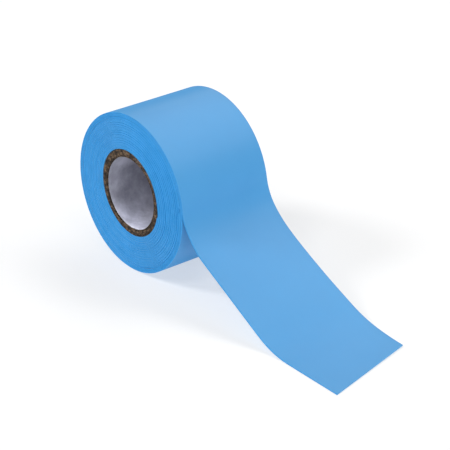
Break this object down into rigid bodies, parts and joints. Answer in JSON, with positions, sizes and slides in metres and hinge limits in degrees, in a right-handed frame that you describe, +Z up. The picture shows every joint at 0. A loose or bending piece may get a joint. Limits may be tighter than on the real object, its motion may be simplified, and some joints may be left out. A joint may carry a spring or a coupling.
{
  "type": "grip tape roll",
  "caption": "Roll of plain self-adhesive grip tape wound on a spiral paperboard core, standing on its rim, with a free tail that slopes down and lies flat.",
  "frame": {"origin": "centre of the core's bore, halfway along it", "axes": "+Y along the bore, +X towards the free tail, +Z up; the roll and the flat end of the tail stand on z = -29.1 mm"},
  "size_m": [0.1373, 0.038, 0.0584],
  "materials": {
    "tape_film": "smooth matte blue film",
    "adhesive": "pale pressure-sensitive adhesive",
    "kraft_board": "brown kraft board, unbleached",
    "white_paper": "grey-white lining paper"
  },
  "bodies": {
    "outer_turn": {"outer_wrap": "tape_film", "outer_wrap_adhesive": "adhesive"},
    "wound_roll": {"core_liner_ply": "white_paper", "core_kraft_ply_1": "kraft_board", "core_kraft_ply_2": "kraft_board", "core_kraft_ply_3": "kraft_board", "core_kraft_ply_4": "kraft_board", "tape_pack": "tape_film", "tape_pack_adhesive": "adhesive"},
    "free_tail": {"tail_slope": "tape_film", "tail_slope_adhesive": "adhesive"},
    "tail_tip": {"tail_end": "tape_film", "tail_end_adhesive": "adhesive"}
  },
  "joints": [
    {"name": "unwind", "type": "hinge", "parent": "outer_turn", "child": "wound_roll", "pos_m": [0, 0, 0], "axis": [0, 1, 0], "continuous": true},
    {"name": "tail_swing", "type": "hinge", "parent": "outer_turn", "child": "free_tail", "pos_m": [0.03201, 0, -0.00309], "axis": [0, -1, 0], "range_deg": [0, 70]},
    {"name": "tip_lift", "type": "hinge", "parent": "free_tail", "child": "tail_tip", "pos_m": [0.08049, 0, -0.02753], "axis": [0, -1, 0], "range_deg": [0, 60]}
  ]
}
